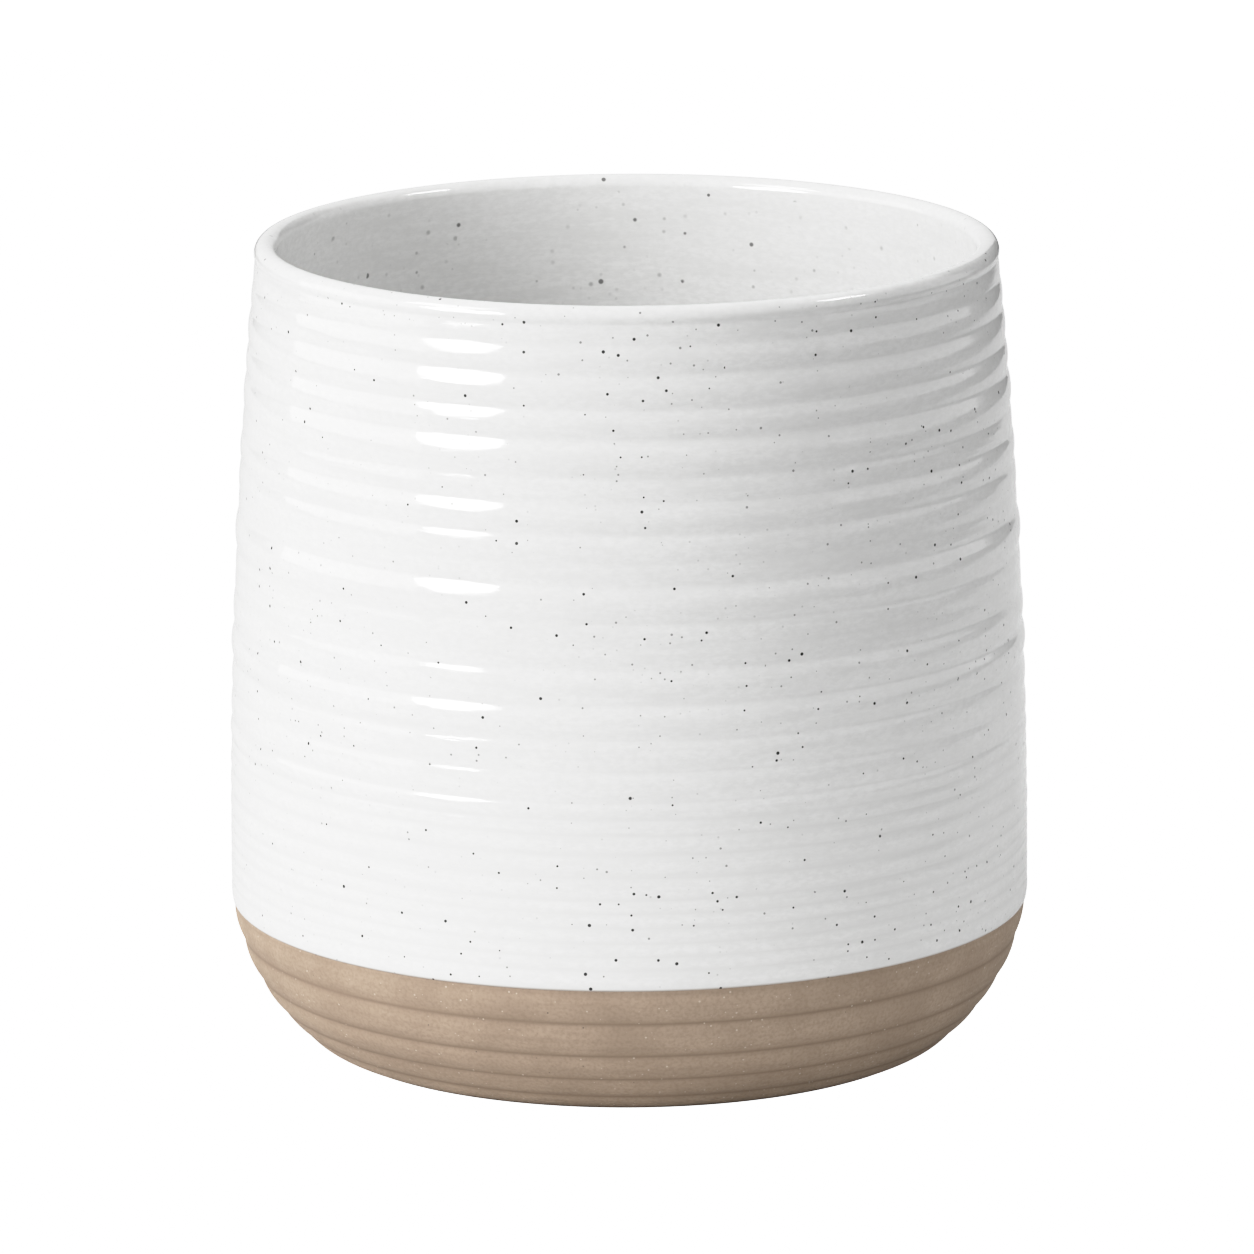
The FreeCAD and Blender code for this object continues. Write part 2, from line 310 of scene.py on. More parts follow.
def finger_rings(shape, levels, strengths, coat, melt, seed):
    """Radius, height and hollowness of a ridged wall, over profile points and turn angles.

    Hollow k lies on the wall's line at its level, plus a slow wave of the turn angle. From each
    hollow to the next the surface is the straight line between them plus a bow along its normal.
    The bow is a parabola as high as the line's length squared over eight ridge radii, times the
    ridge's strength. Each hollow is sunk by a quarter of the two ridges beside it. Melting averages
    the bow over neighbouring points, which rounds the hollows.
    Wheel lines add to each row of points a slow wave of its own, averaged with its neighbours'.
    """
    rng = np.random.default_rng(seed)
    turn = turn_angles()
    stray = shape.sway * slow_waves(rng, levels.size, turn)
    stray[0] = 0
    stray[-1] = 0
    heights = levels[:, None] + stray
    radii = wall_radius(shape, heights, coat)
    rise = np.diff(heights, axis=0)[:, None, :]
    lean = np.diff(radii, axis=0)[:, None, :]
    chord = np.hypot(rise, lean)
    along = (np.arange(RING_STEPS) / RING_STEPS)[None, :, None]
    wander = 1 + STRENGTH_WANDER * slow_waves(rng, len(strengths), turn)
    strength = np.asarray(strengths[::-1])[:, None] * wander
    arch = 4 * along * (1 - along)
    peak = strength[:, None, :] * chord**2 / (8 * shape.ridge_radius)
    sunk = np.pad((peak[1:] + peak[:-1]) / 4, ((1, 1), (0, 0), (0, 0)))
    bow = peak * arch - sunk[:-1] * (1 - along) - sunk[1:] * along
    rows = bow.reshape(-1, turn.size)
    lines = melted(slow_waves(rng, len(rows), turn), 1)
    bow = (melted(rows, melt) + shape.wheel_lines * lines).reshape(bow.shape)
    radius = radii[:-1, None, :] + along * lean + bow * rise / chord
    height = heights[:-1, None, :] + along * rise - bow * lean / chord
    hollow = np.broadcast_to((1 - arch) ** 3, radius.shape)
    return tuple(part.reshape(-1, turn.size) for part in (radius, height, hollow))


def melted(rows, times):
    """Rows averaged with their neighbours, one quarter, one half, one quarter, a number of times."""
    for _ in range(times):
        padded = np.pad(rows, ((1, 1), (0, 0)), mode="edge")
        rows = (padded[:-2] + 2 * padded[1:-1] + padded[2:]) / 4
    return rows


def round_rows(centre, radius, first, last, count):
    """Radius and height of points on a circle in the half section, between two angles in degrees."""
    angle = np.radians(np.linspace(first, last, count))
    return np.stack([centre[0] + radius * np.cos(angle), centre[1] + radius * np.sin(angle)], axis=1)


def straight_rows(start, end, count):
    """Radius and height of evenly spaced points on a straight line in the half section."""
    share = np.linspace(0, 1, count)[:, None]
    return np.asarray(start) * (1 - share) + np.asarray(end) * share


def all_round(rows):
    """A list of points in the half section, the same at every turn angle, with no hollows."""
    wide = np.ones((1, TURN_STEPS))
    return rows[:, :1] * wide, rows[:, 1:] * wide, 0 * wide * rows[:, :1]


def stack(*bands):
    """Bands of rows, one after another: radius, height and hollowness."""
    return tuple(np.concatenate(parts) for parts in zip(*bands))


def surface(name, bands, closed):
    """A mesh whose point for profile row i and turn angle t is at (r cos t, r sin t, z).

    The rows run anticlockwise round the half section, so that faces point outwards. A closed
    profile joins its last row to its first. An open one ends on the axis, in a pole at each end.
    The map is the turn angle across and the length along the profile upwards.
    """
    radius, height, hollow = bands
    rows, columns = radius.shape
    turn = turn_angles()
    grid = np.stack([radius * np.cos(turn), radius * np.sin(turn), height], axis=2).reshape(-1, 3)
    cell = np.arange(rows * columns).reshape(rows, columns)
    if closed:
        cell = np.concatenate([cell, cell[:1]])
    beside = np.roll(cell, -1, axis=1)
    quads = np.stack([cell[:-1], beside[:-1], beside[1:], cell[1:]], axis=2).reshape(-1, 4)

    step = np.hypot(np.diff(radius[:, 0]), np.diff(height[:, 0]))
    if closed:
        step = np.append(step, math.hypot(radius[-1, 0] - radius[0, 0], height[-1, 0] - height[0, 0]))
        start_gap = end_gap = 0.0
    else:
        start_gap, end_gap = radius[0, 0], radius[-1, 0]
    along = start_gap + np.concatenate(([0.0], np.cumsum(step)))
    along = along / (along[-1] + end_gap)
    left = np.arange(columns) / columns
    right = left + 1 / columns
    corners_u = np.stack([left, right, right, left], axis=1)[None]
    corners_v = np.stack([along[:-1], along[:-1], along[1:], along[1:]], axis=1)[:, None]
    quad_map = np.stack(np.broadcast_arrays(corners_u, corners_v), axis=3).reshape(-1, 2)

    points = grid
    shade = hollow.reshape(-1)
    loops = quads.reshape(-1)
    sizes = np.full(len(quads), 4)
    spread = quad_map
    if not closed:
        poles = np.array([[0, 0, height[0].mean()], [0, 0, height[-1].mean()]])
        under, top = len(grid), len(grid) + 1
        points = np.concatenate([grid, poles])
        shade = np.concatenate([shade, [0.0, 0.0]])
        first = np.stack([np.full(columns, under), beside[0], cell[0]], axis=1)
        last = np.stack([cell[-1], beside[-1], np.full(columns, top)], axis=1)
        middle = (left + right) / 2
        low, high = np.full(columns, along[0]), np.full(columns, along[-1])
        first_map = np.stack([middle, 0 * low, right, low, left, low], axis=1).reshape(-1, 2)
        last_map = np.stack([left, high, right, high, middle, 0 * high + 1], axis=1).reshape(-1, 2)
        loops = np.concatenate([loops, first.reshape(-1), last.reshape(-1)])
        sizes = np.concatenate([sizes, np.full(2 * columns, 3)])
        spread = np.concatenate([spread, first_map, last_map])

    return new_mesh(name, points, loops, sizes, spread, shade)


def new_mesh(name, points, loops, sizes, spread, shade):
    """A smooth mesh from the points, the corners of all faces in a row, and each face's corner count.

    The spread is each corner's place on the map, and the shade is each point's hollowness.
    """
    mesh = bpy.data.meshes.new(name)
    mesh.vertices.add(len(points))
    mesh.vertices.foreach_set("co", points.astype(np.float32).ravel())
    mesh.loops.add(len(loops))
    mesh.loops.foreach_set("vertex_index", loops.astype(np.int32))
    mesh.polygons.add(len(sizes))
    mesh.polygons.foreach_set("loop_start", (np.cumsum(sizes) - sizes).astype(np.int32))
    mesh.polygons.foreach_set("use_smooth", np.ones(len(sizes), bool))
    mesh.update(calc_edges=True)
    mesh.uv_layers.new(name="OFBake").data.foreach_set("uv", spread.astype(np.float32).ravel())
    mesh.attributes.new("hollow", "FLOAT", "POINT").data.foreach_set("value", shade.astype(np.float32))
    if mesh.validate(verbose=False):
        raise RuntimeError(f"{name} has faces that are not sound")
    return mesh


def add_piece(name, mesh, material, node):
    """Puts a mesh in the scene in the place of a solid."""
    mesh.materials.append(material)
    piece = bpy.data.objects.new(name, mesh)
    bpy.context.scene.collection.objects.link(piece)
    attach(piece, "root")
    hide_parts(node)
    return piece


def lining_rows(shape, coat):
    """The inside from the lip down to the edge of the floor's centre: wall, round corner, flat floor."""
    heights = np.linspace(lip_height(shape), shape.belly_height, 40)
    wall = np.stack([lining_radius(shape, heights, coat), heights], axis=1)
    level = floor_height(shape) + coat
    round_of_floor = shape.belly_height - level
    corner_centre = (wall[-1, 0] - round_of_floor, shape.belly_height)
    corner = round_rows(corner_centre, round_of_floor, 0, -90, 25)
    flat = straight_rows((corner_centre[0], level), (POLE_RADIUS, level), 16)
    return np.concatenate([wall[1:], corner[1:], flat[1:]])


def clay_bands(shape):
    """The whole clay: underside, foot, bare ridged band, wall under the coat, lip and inside.

    The outer edge of the foot is rounded by a lift and a draw inwards that die away upwards, by half
    of the sponged round times the exponential of minus the height over that round.
    """
    foot = shape.belly_radius - shape.foot_inset
    inner = foot - shape.foot_width
    recess, edge = shape.foot_recess, shape.foot_round
    under = straight_rows((POLE_RADIUS, recess), (inner - recess, recess), 14)
    cove = round_rows((inner - recess, 0), recess, 90, 30, 6)
    sponged_inner = round_rows((inner + edge, edge), edge, 200, 270, 5)
    flat = straight_rows((inner + edge, 0), (foot - edge, 0), 6)
    base = np.concatenate([under, cove[1:], sponged_inner, flat[1:]])

    line = glaze_line(shape)
    levels = ring_levels(BARE_STEPS, 0.0, line)
    radius, height, hollow = finger_rings(shape, levels, BARE_STRENGTHS, 0.0, 1, shape.hand + 1)
    lift = 0.5 * edge * np.exp(-height / edge)
    band = (radius - lift, height + lift, hollow)

    heights = np.linspace(line, lip_height(shape) - shape.collar_drop, 24)
    wall = np.stack([wall_radius(shape, heights, 0.0), heights], axis=1)
    collar = -math.degrees(math.asin(shape.collar_drop / shape.lip_radius))
    lip = round_rows((rim_radius(shape), lip_height(shape)), shape.lip_radius, collar, 180, 20)
    return stack(
        all_round(base), band, all_round(wall), all_round(lip[1:]), all_round(lining_rows(shape, 0.0))
    )


def tucked_lip(shape, first, last, tuck_first, count):
    """The glazed lip between two angles, where the part past the crown sinks under the other coat.

    The radius shrinks by the square of the angle past the crown, so both coats are level there.
    """
    angle = np.linspace(first, last, count)
    past = np.maximum(CROWN - angle if tuck_first else angle - CROWN, 0)
    radius = shape.lip_radius + shape.glaze_thickness * (1 - (past / TUCK) ** 2)
    turn = np.radians(angle)
    return np.stack(
        [rim_radius(shape) + radius * np.cos(turn), lip_height(shape) + radius * np.sin(turn)], axis=1
    )


def clay_side_of_lip(shape, first, last):
    """The hidden face of a coat round the lip, between two angles in degrees."""
    radius = shape.lip_radius + STAND_OFF * shape.glaze_thickness
    return round_rows((rim_radius(shape), lip_height(shape)), radius, first, last, 12)


def outside_bands(shape):
    """The outside coat: rounded lower edge, ridges, collar, lip, and back down against the clay."""
    coat = shape.glaze_thickness
    line = glaze_line(shape)
    clay_foot = wall_radius(shape, np.array([line]), 0.0)[0]
    edge = round_rows((clay_foot, line + coat), coat, -90, -10, 6)
    levels = ring_levels(GLAZED_STEPS, line + coat, lip_height(shape) - shape.collar_drop)
    rings = finger_rings(shape, levels, GLAZED_STRENGTHS, coat, 1, shape.hand)
    collar = -math.degrees(math.asin(shape.collar_drop / (shape.lip_radius + coat)))
    lip = tucked_lip(shape, collar, 130, False, 26)
    heights = np.linspace(lip_height(shape) - shape.collar_drop, line + coat, 16)
    back = np.stack([wall_radius(shape, heights, 0.0) + STAND_OFF * coat, heights], axis=1)
    under_lip = clay_side_of_lip(shape, 120, -20)
    return stack(
        all_round(edge), rings, all_round(lip), all_round(under_lip), all_round(back[1:])
    )


def inside_bands(shape):
    """The inside coat: against the clay up to the lip, over the crown, and down to the floor."""
    coat = shape.glaze_thickness
    against = lining_rows(shape, STAND_OFF * coat)[::-1]
    under_lip = clay_side_of_lip(shape, 180, 60)
    lip = tucked_lip(shape, 50, 180, True, 24)
    lining = lining_rows(shape, coat)
    return stack(all_round(against), all_round(under_lip), all_round(lip), all_round(lining))


class Nodes:
    """Short ways to add and join the nodes of a material or of the room."""

    def __init__(self, owner, shader="Principled BSDF", place="Object"):
        owner.use_nodes = True
        self.owner = owner
        self.tree = owner.node_tree
        self.shader = self.tree.nodes[shader]
        self.place = self.add("ShaderNodeTexCoord").outputs[place]

    def add(self, kind, **settings):
        node = self.tree.nodes.new(kind)
        for key, value in settings.items():
            setattr(node, key, value)
        return node

    def feed(self, socket, value):
        """Joins a socket to another, or sets it to a value."""
        if isinstance(value, bpy.types.NodeSocket):
            self.tree.links.new(value, socket)
        else:
            socket.default_value = value

    def math(self, operation, *values):
        node = self.add("ShaderNodeMath", operation=operation)
        for socket, value in zip(node.inputs, values):
            self.feed(socket, value)
        return node.outputs[0]

    def grain(self, spacing, detail=2.0, roughness=0.5, stretch=(1, 1, 1), shift=0.0):
        """Noise between 0 and 1 with features about as large as the spacing, in metres."""
        fit = self.add("ShaderNodeMapping")
        self.feed(fit.inputs["Vector"], self.place)
        fit.inputs["Scale"].default_value = [axis / spacing for axis in stretch]
        fit.inputs["Location"].default_value = (shift, shift * 0.7, shift * 1.3)
        noise = self.add("ShaderNodeTexNoise", noise_dimensions="3D")
        self.feed(noise.inputs["Vector"], fit.outputs[0])
        noise.inputs["Scale"].default_value = 1.0
        noise.inputs["Detail"].default_value = detail
        noise.inputs["Roughness"].default_value = roughness
        return noise.outputs["Fac"]

    def ramp(self, value, low, high, start=0.0, end=1.0):
        """A smooth step of a value, from start at low to end at high."""
        node = self.add("ShaderNodeMapRange", interpolation_type="SMOOTHSTEP")
        names = ("Value", "From Min", "From Max", "To Min", "To Max")
        for name, number in zip(names, (value, low, high, start, end)):
            self.feed(node.inputs[name], number)
        return node.outputs["Result"]

    def dots(self, spacing, radius, share, shift, soft=0.25):
        """Round specks: balls in some of the cells of a 3-D cell pattern, cut by the surface.

        A ball's radius varies from half to all of the given one, and a slow noise gathers them.
        """
        fit = self.add("ShaderNodeMapping")
        self.feed(fit.inputs["Vector"], self.place)
        fit.inputs["Scale"].default_value = [1 / spacing] * 3
        fit.inputs["Location"].default_value = (shift, shift * 1.7, shift * 0.6)
        cells = self.add("ShaderNodeTexVoronoi", voronoi_dimensions="3D", feature="F1")
        self.feed(cells.inputs["Vector"], fit.outputs[0])
        cells.inputs["Scale"].default_value = 1.0
        parts = self.add("ShaderNodeSeparateColor")
        self.feed(parts.inputs[0], cells.outputs["Color"])
        crowds = self.grain(22 * MM, detail=1.0, shift=shift + 5.0)
        gather = self.ramp(crowds, 0.36, 0.66, 0.25 * share, 1.75 * share)
        chosen = self.math("LESS_THAN", parts.outputs[0], gather)
        half = 0.5 * radius / spacing
        size = self.math("MULTIPLY_ADD", parts.outputs[1], half, half)
        inner = self.math("MULTIPLY", size, 1 - soft)
        ball = self.ramp(cells.outputs["Distance"], inner, size, 1.0, 0.0)
        return self.math("MULTIPLY", ball, chosen)

    def blend(self, share, first, second):
        """Mixes two colours by a share of the second."""
        node = self.add("ShaderNodeMix", data_type="RGBA")
        self.feed(node.inputs["Factor"], share)
        for name, colour in (("A", first), ("B", second)):
            socket = [s for s in node.inputs if s.name == name and s.type == "RGBA"][0]
            self.feed(socket, colour)
        return [s for s in node.outputs if s.type == "RGBA"][0]

    def along(self, axis):
        """The X, Y or Z of the place."""
        parts = self.add("ShaderNodeSeparateXYZ")
        self.feed(parts.inputs[0], self.place)
        return parts.outputs[axis]

    def hollow(self):
        node = self.add("ShaderNodeAttribute", attribute_type="GEOMETRY", attribute_name="hollow")
        return node.outputs["Fac"]

    def bump(self, height, depth):
        """Tilts the shading by a height of so many metres."""
        node = self.add("ShaderNodeBump")
        self.feed(node.inputs["Height"], height)
        node.inputs["Distance"].default_value = depth
        node.inputs["Strength"].default_value = 1.0
        self.feed(self.shader.inputs["Normal"], node.outputs[0])


def opaque(colour):
    return (*colour, 1.0)


# Heights between which the fine rings give way to the broad ones, and over which the painted
# shade in the glaze's hollows fades.
FINE_RINGS = (60 * MM, 72 * MM)

# Iron specks: cell size and largest radius in millimetres, share of cells, pattern shift, strength
# and softness.
OUTSIDE_SPECKS = (
    (2.9, 0.42, 0.48, 3.1, 0.98, 0.25),
    (2.2, 0.33, 0.42, 17.3, 0.66, 0.4),
    (1.9, 0.34, 0.42, 41.9, 0.26, 0.6),
)
INSIDE_SPECKS = (
    (5.0, 0.75, 0.40, 3.1, 0.80, 0.5),
    (3.6, 0.85, 0.60, 17.3, 0.40, 0.8),
    (3.0, 0.75, 0.60, 41.9, 0.20, 0.9),
)


def glaze_material(name, finish, specks, line):
    """Glossy white glaze with a hand-made look.

    It has drawn-out mottling, a fine grain, painted shade in the hollows, most of all between the
    fine rings, iron specks in three sizes, and a thin brown lower edge.
    """
    nodes = Nodes(bpy.data.materials.new(name))
    shader = nodes.shader
    white, shade = opaque(finish.glaze), opaque(finish.glaze_shade)
    drawn = nodes.grain(2.4 * MM, detail=4.0, roughness=0.6, stretch=(0.12, 0.12, 1.0))
    colour = nodes.blend(nodes.ramp(drawn, 0.35, 0.75, 0.0, 0.7), white, shade)
    fine = nodes.grain(0.9 * MM, detail=2.0, roughness=0.6, stretch=(0.5, 0.5, 1.0), shift=21.0)
    colour = nodes.blend(nodes.ramp(fine, 0.3, 0.7, 0.0, 0.7), colour, shade)
    # Painted shade: the outside coat is greyed in its hollows, strongest between the fine rings low on the
    # wall.
    depth = nodes.ramp(nodes.along("Z"), *FINE_RINGS, 0.9, 0.25)
    painted_hollow_shade = nodes.math("MULTIPLY", nodes.math("POWER", nodes.hollow(), 0.4), depth)
    colour = nodes.blend(painted_hollow_shade, colour, shade)
    thin = nodes.ramp(nodes.along("Z"), line, line + 0.6 * MM, 0.75, 0.0)
    colour = nodes.blend(thin, colour, opaque(finish.clay_dark))
    covered = 0.0
    for spacing, radius, share, shift, strength, softness in specks:
        dots = nodes.dots(spacing * MM, radius * MM, share, shift, softness)
        colour = nodes.blend(nodes.math("MULTIPLY", dots, strength), colour, opaque(finish.speck))
        covered = nodes.math("MAXIMUM", dots, covered)
    nodes.feed(shader.inputs["Base Color"], colour)
    dull = nodes.math("MULTIPLY_ADD", covered, 0.12, finish.glaze_roughness)
    haze = nodes.math("MULTIPLY_ADD", nodes.grain(14 * MM, shift=9.0), 0.03, dull)
    nodes.feed(shader.inputs["Roughness"], haze)
    shader.inputs["IOR"].default_value = 1.5
    streaks = nodes.grain(1.6 * MM, detail=4.0, roughness=0.6, stretch=(0.06, 0.06, 1.0), shift=13.0)
    ripple = nodes.math("MULTIPLY_ADD", nodes.grain(5 * MM, shift=2.0), 0.9, streaks)
    nodes.bump(ripple, 0.055 * MM)
    return nodes.owner


def clay_material(finish):
    """Matt bare stoneware.

    It has tone patches, a fine grain, painted shade in the grooves, faint drawn lines, pale grog, a
    few dark grains, and a bump of wheel lines and grit.
    """
    nodes = Nodes(bpy.data.materials.new("bare_stoneware"))
    shader = nodes.shader
    tan, dark_clay = opaque(finish.clay), opaque(finish.clay_dark)
    patches = nodes.grain(12 * MM, detail=4.0)
    colour = nodes.blend(nodes.ramp(patches, 0.3, 0.7, 0.0, 0.35), tan, dark_clay)
    fine = nodes.grain(0.7 * MM, shift=4.0)
    colour = nodes.blend(nodes.ramp(fine, 0.35, 0.75, 0.0, 0.45), colour, dark_clay)
    # Painted shade: the clay is darkened in its grooves, as much as each point is hollow.
    colour = nodes.blend(nodes.hollow(), colour, dark_clay)
    drawn = nodes.grain(1.3 * MM, detail=3.0, roughness=0.6, stretch=(0.03, 0.03, 1.0), shift=8.0)
    colour = nodes.blend(nodes.ramp(drawn, 0.42, 0.72, 0.0, 0.2), colour, dark_clay)
    pale = nodes.dots(1.3 * MM, 0.26 * MM, 0.35, 7.7)
    colour = nodes.blend(nodes.math("MULTIPLY", pale, 0.55), colour, opaque(finish.grog))
    dark = nodes.dots(2.4 * MM, 0.22 * MM, 0.2, 23.0)
    colour = nodes.blend(nodes.math("MULTIPLY", dark, 0.6), colour, opaque(finish.speck))
    nodes.feed(shader.inputs["Base Color"], colour)
    nodes.feed(shader.inputs["Roughness"], nodes.ramp(nodes.grain(1.1 * MM), 0.3, 0.7, 0.78, 0.92))
    shader.inputs["Specular IOR Level"].default_value = 0.3
    lines = nodes.grain(0.9 * MM, stretch=(0.04, 0.04, 1.0), shift=6.0)
    grit = nodes.math("MULTIPLY_ADD", nodes.grain(0.5 * MM, shift=1.0), 0.6, lines)
    nodes.bump(grit, 0.06 * MM)
    return nodes.owner


class CROCK_OT_throw_clay(bpy.types.Operator):
    """Throws the clay body: foot, bare ridged band, wall, lip and inside"""

    bl_idname = "crock.throw_clay"
    bl_label = "Throw the clay"

    def execute(self, context):
        scene = context.scene
        mesh = surface("thrown_clay", clay_bands(scene.crock_shape), closed=False)
        add_piece("thrown_clay", mesh, clay_material(scene.crock_finish), "stoneware_body")
        return {"FINISHED"}


class CROCK_OT_glaze_outside(bpy.types.Operator):
    """Dips the outside in white glaze, from the lip down to the glaze line"""

    bl_idname = "crock.glaze_outside"
    bl_label = "Glaze the outside"

    def execute(self, context):
        scene = context.scene
        mesh = surface("outside_coat", outside_bands(scene.crock_shape), closed=True)
        material = glaze_material(
            "speckled_white_glaze", scene.crock_finish, OUTSIDE_SPECKS, glaze_line(scene.crock_shape)
        )
        add_piece("outside_coat", mesh, material, "outside_glaze")
        return {"FINISHED"}


class CROCK_OT_glaze_inside(bpy.types.Operator):
    """Lines the inside with white glaze, from the lip down to the floor"""

    bl_idname = "crock.glaze_inside"
    bl_label = "Glaze the inside"

    def execute(self, context):
        scene = context.scene
        mesh = surface("inside_coat", inside_bands(scene.crock_shape), closed=False)
        material = glaze_material("speckled_white_lining", scene.crock_finish, INSIDE_SPECKS, 0.0)
        add_piece("inside_coat", mesh, material, "inside_glaze")
        return {"FINISHED"}


# The studio, in metres and degrees. Bearing 0 is the camera's side and 90 the right.
MIDDLE_HEIGHT = 0.09
# The floor lies a little low, clear of the foot.
FLOOR_HALF, FLOOR_DROP = 6.0, 0.0002
TABLE_SIZE, TABLE_PLACE = (1.75, 1.6), (-0.22, 0.45, 0)
# The front left as a direction seen from above, the part of the room over which its glow changes,
# and half the height over which it fades at the horizon.
FRONT_LEFT = (-0.6, -0.8)
ROOM_CHANGE = (-0.3, 0.6)
HORIZON = 0.08
# Bearing, elevation and distance of a light or shine, and its width and height.
ROUND_LIGHT, ROUND_SHINE, ROUND_SIZE = (-46, 16.5, 1.6), (-51, 16.5, 1.6), (0.78, 0.75)
LEFT_LIGHT, LEFT_SIZE = (-65, 42, 1.5), (0.5, 0.5)
SIDE_SHINE, SIDE_SIZE = (92, 50, 1.4), (0.37, 0.25)
BACK_PLACE, BACK_SIZE = (0, 1.6, 1.9), (2.0, 1.2)
# Two bearings, two elevations and the distance of a window.
LEFT_WINDOW = ((-118, -62), (-2, 30), 2.0)
RIGHT_WINDOW = ((62, 126), (-1, 28), 2.0)
# Two bearings, two heights and the distance of the dark card, and its shade.
DARK_CARD, DARK_SHADE = ((164, 130), (0, 0.9), 1.2), 0.05
GLOSS_ONLY = ("glossy",)
# The camera's sensor in millimetres, and the photograph's framing.
SENSOR_WIDTH = 36.0
FRAME_SHIFT = (-0.0011, 0.0004)

# How film keeps the brightest tones apart: light that falls on it and the tone that it shows.
FILM_WHITE = 1.9
FILM_TONES = (
    (0.3, 0.3), (0.6, 0.597), (0.8, 0.76), (1.0, 0.853), (1.2, 0.905), (1.45, 0.95), (1.65, 0.978),
)
ALL_COLOURS = 3  # the film's curve for all three colours together


def room(stage):
    """A soft room that glows less in front at the left, where the lights stand, than behind.

    Under the horizon it is dark, because there the light comes from the table.
    """
    nodes = Nodes(bpy.data.worlds.new("studio"), "Background", "Generated")
    forward = nodes.math("MULTIPLY", nodes.along("Y"), FRONT_LEFT[1])
    toward = nodes.math("MULTIPLY_ADD", nodes.along("X"), FRONT_LEFT[0], forward)
    above = nodes.ramp(toward, *ROOM_CHANGE, stage.back_sky, stage.front_sky)
    below = nodes.ramp(toward, *ROOM_CHANGE, stage.back_low, stage.front_low)
    share = nodes.ramp(nodes.along("Z"), -HORIZON, HORIZON)
    light = nodes.math("MULTIPLY_ADD", nodes.math("SUBTRACT", above, below), share, below)
    nodes.feed(nodes.shader.inputs["Color"], (1, 1, 1, 1))
    nodes.feed(nodes.shader.inputs["Strength"], light)
    return nodes.owner


def aimed(place, target, roll=0.0):
    """Turn that makes a light or camera at a place look at a target, rolled about the line of sight."""
    turn = (Vector(target) - Vector(place)).to_track_quat("-Z", "Y")
    return (turn.to_matrix() @ Euler((0, 0, roll)).to_matrix()).to_euler()


def from_bearing(bearing, elevation, distance, target_height=MIDDLE_HEIGHT):
    """A place at a distance from a point on the pot's axis, at so high a target."""
    across, up = math.radians(bearing), math.radians(elevation)
    return Vector(
        (
            distance * math.sin(across) * math.cos(up),
            -distance * math.cos(across) * math.cos(up),
            target_height + distance * math.sin(up),
        )
    )


def add_light(name, form, watts, size, place, target):
    lamp = bpy.data.lights.new(name, "AREA")
    lamp.shape = form
    lamp.energy = watts
    lamp.size, lamp.size_y = size
    light = bpy.data.objects.new(name, lamp)
    light.location = place
    light.rotation_euler = aimed(place, target)
    bpy.context.scene.collection.objects.link(light)
    return light


def add_card(name, corners, shade, glow, seen_by):
    """A flat card of a grey shade that may glow, and that only some kinds of ray see."""
    mesh = bpy.data.meshes.new(name)
    mesh.from_pydata(corners, [], [range(len(corners))])
    paper = Nodes(bpy.data.materials.new(name))
    paper.feed(paper.shader.inputs["Base Color"], (shade, shade, shade, 1))
    paper.shader.inputs["Roughness"].default_value = 1.0
    paper.shader.inputs["Emission Color"].default_value = (1, 1, 1, 1)
    paper.shader.inputs["Emission Strength"].default_value = glow
    mesh.materials.append(paper.owner)
    card = bpy.data.objects.new(name, mesh)
    for rays in ("camera", "diffuse", "glossy", "transmission", "shadow"):
        setattr(card, f"visible_{rays}", rays in seen_by)
    bpy.context.scene.collection.objects.link(card)
    return card


def ellipse(width, height):
    """Corners of an ellipse about the origin, flat on X and Y, one each 5 degrees."""
    turn = np.radians(np.arange(0, 360, 5))
    return np.stack([width / 2 * np.cos(turn), height / 2 * np.sin(turn), 0 * turn], axis=1).tolist()


def between(firsts, lasts):
    """The four corners of a patch between two firsts and two lasts, in order round it."""
    return [(firsts[0], lasts[0]), (firsts[1], lasts[0]), (firsts[1], lasts[1]), (firsts[0], lasts[1])]


def add_shine(name, size, glow, place):
    """A glowing ellipse at a place, turned to the pot, that shows only in the gloss."""
    card = add_card(name, ellipse(*size), 0.0, glow, GLOSS_ONLY)
    card.location = place
    card.rotation_euler = aimed(place, (0, 0, MIDDLE_HEIGHT))
    return card


def add_window(name, window, glow):
    """A glowing panel between two bearings and two elevations, that shows only in the gloss."""
    bearings, elevations, distance = window
    corners = [from_bearing(*corner, distance) for corner in between(bearings, elevations)]
    return add_card(name, corners, 0.0, glow, GLOSS_ONLY)


def set_film(view):
    """Tones as they are up to the middle, then a soft shoulder up to white."""
    view.view_transform = "Standard"
    view.look = "None"
    view.use_curve_mapping = True
    film = view.curve_mapping
    film.white_level = (FILM_WHITE, FILM_WHITE, FILM_WHITE)
    for light, tone in FILM_TONES:
        film.curves[ALL_COLOURS].points.new(light / FILM_WHITE, tone)
    film.update()


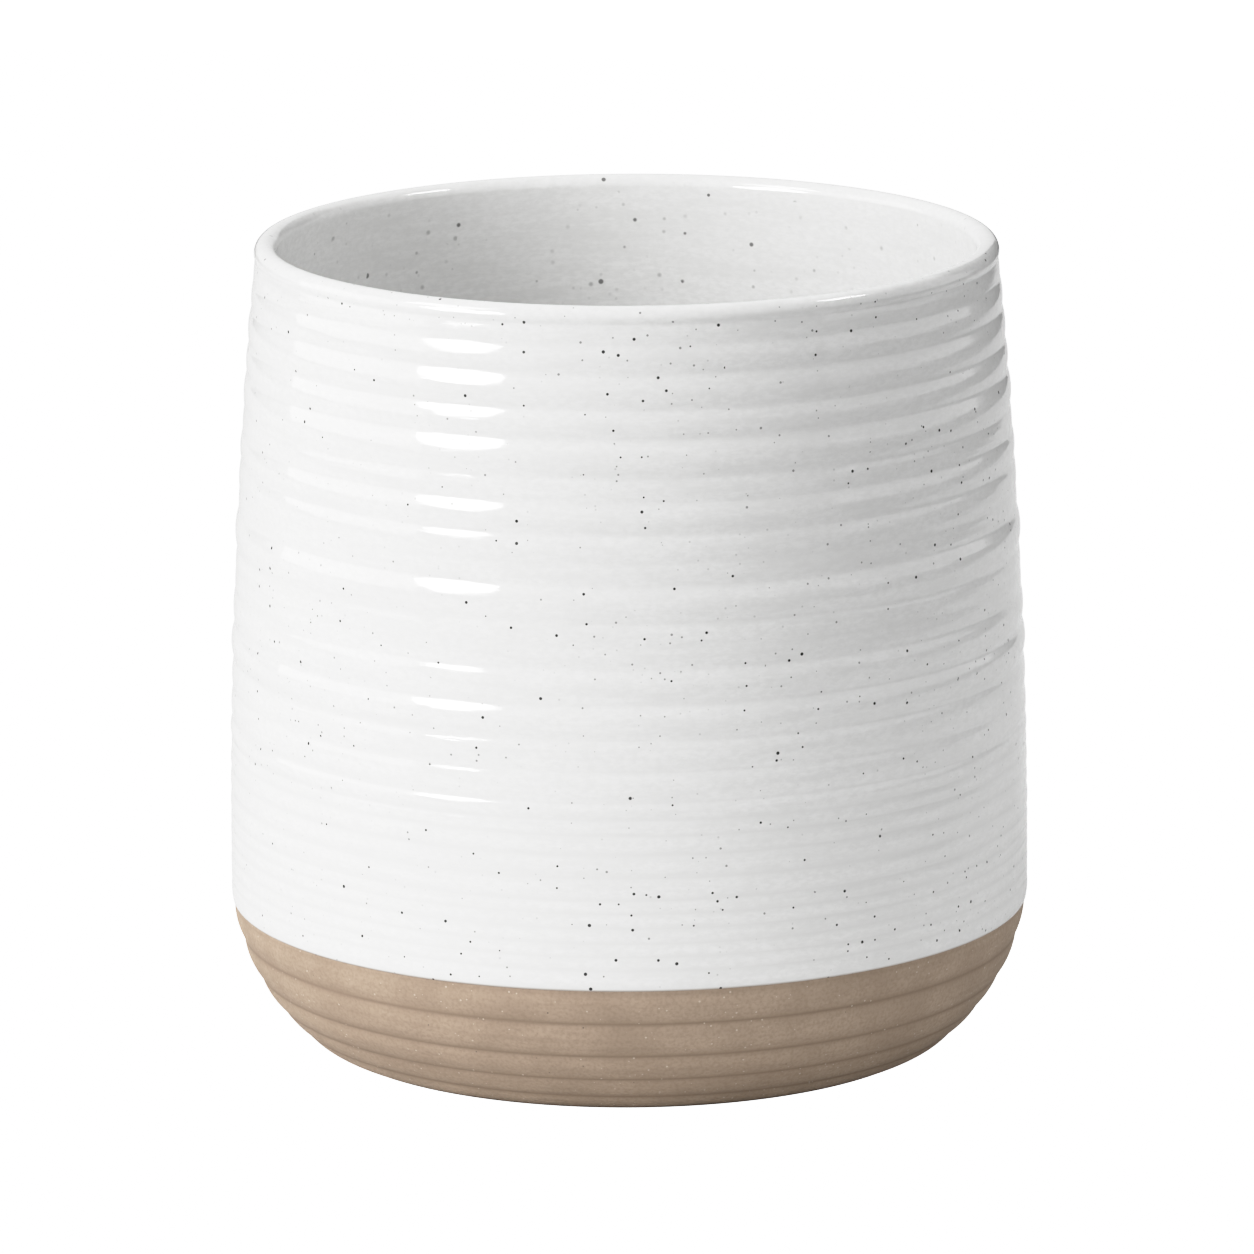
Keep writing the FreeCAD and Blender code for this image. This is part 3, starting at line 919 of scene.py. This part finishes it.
class CROCK_OT_set_stage(bpy.types.Operator):
    """Lays the floor and sets the lights and the camera"""

    bl_idname = "crock.set_stage"
    bl_label = "Set the stage"

    def execute(self, context):
        scene = context.scene
        stage = scene.crock_stage
        middle = (0, 0, MIDDLE_HEIGHT)

        sides = (-FLOOR_HALF, FLOOR_HALF)
        square = [(x, y, -FLOOR_DROP) for x, y in between(sides, sides)]
        add_card("floor", square, 0.0, stage.floor_glow, ("camera",))
        table = add_card("table", ellipse(*TABLE_SIZE), stage.table, 0.0, ("diffuse", "glossy", "shadow"))
        table.location = TABLE_PLACE
        bearings, heights, distance = DARK_CARD
        corners = between(bearings, heights)
        dark = [from_bearing(bearing, 0, distance, height) for bearing, height in corners]
        add_card("dark_card", dark, DARK_SHADE, 0.0, GLOSS_ONLY)

        key_place = from_bearing(*ROUND_LIGHT)
        key = add_light("round_light", "ELLIPSE", stage.key, ROUND_SIZE, key_place, middle)
        key.visible_glossy = False
        add_shine("round_shine", ROUND_SIZE, stage.shine, from_bearing(*ROUND_SHINE))
        add_light("left_light", "RECTANGLE", stage.left, LEFT_SIZE, from_bearing(*LEFT_LIGHT), middle)
        add_light("back_light", "RECTANGLE", stage.back, BACK_SIZE, BACK_PLACE, middle)
        add_window("left_window", LEFT_WINDOW, stage.left_window)
        add_window("right_window", RIGHT_WINDOW, stage.right_window)
        add_shine("side_shine", SIDE_SIZE, stage.glint, from_bearing(*SIDE_SHINE))

        scene.world = room(stage)
        set_film(scene.view_settings)

        camera = bpy.data.objects.new("camera", bpy.data.cameras.new("camera"))
        camera.data.sensor_width = SENSOR_WIDTH
        camera.data.lens = stage.lens
        camera.data.shift_x, camera.data.shift_y = FRAME_SHIFT
        camera.location = (0, -stage.distance, stage.eye_height)
        camera.rotation_euler = aimed(camera.location, (0, 0, stage.aim_height), stage.roll)
        scene.collection.objects.link(camera)
        scene.camera = camera
        return {"FINISHED"}


class CROCK_PT_sidebar(bpy.types.Panel):
    """Sizes, finishes and steps of the crock"""

    bl_idname = "CROCK_PT_sidebar"
    bl_label = "Utensil crock"
    bl_space_type = "VIEW_3D"
    bl_region_type = "UI"
    bl_category = "Crock"

    def draw(self, context):
        scene = context.scene
        for group in (scene.crock_shape, scene.crock_finish, scene.crock_stage):
            box = self.layout.box()
            for name in group.__annotations__:
                box.prop(group, name)
        for step in STEPS:
            self.layout.operator(step.bl_idname)


STEPS = (CROCK_OT_throw_clay, CROCK_OT_glaze_outside, CROCK_OT_glaze_inside, CROCK_OT_set_stage)
GROUPS = {"crock_shape": CrockShape, "crock_finish": CrockFinish, "crock_stage": CrockStage}


def register():
    for kind in (*GROUPS.values(), *STEPS, CROCK_PT_sidebar):
        bpy.utils.register_class(kind)
    for name, group in GROUPS.items():
        setattr(bpy.types.Scene, name, PointerProperty(type=group))


def unregister():
    for name in GROUPS:
        delattr(bpy.types.Scene, name)
    for kind in (CROCK_PT_sidebar, *STEPS, *GROUPS.values()):
        bpy.utils.unregister_class(kind)


def main():
    register()
    bpy.ops.crock.throw_clay()
    bpy.ops.crock.glaze_outside()
    bpy.ops.crock.glaze_inside()
    bpy.ops.crock.set_stage()


if __name__ == "__main__":
    main()
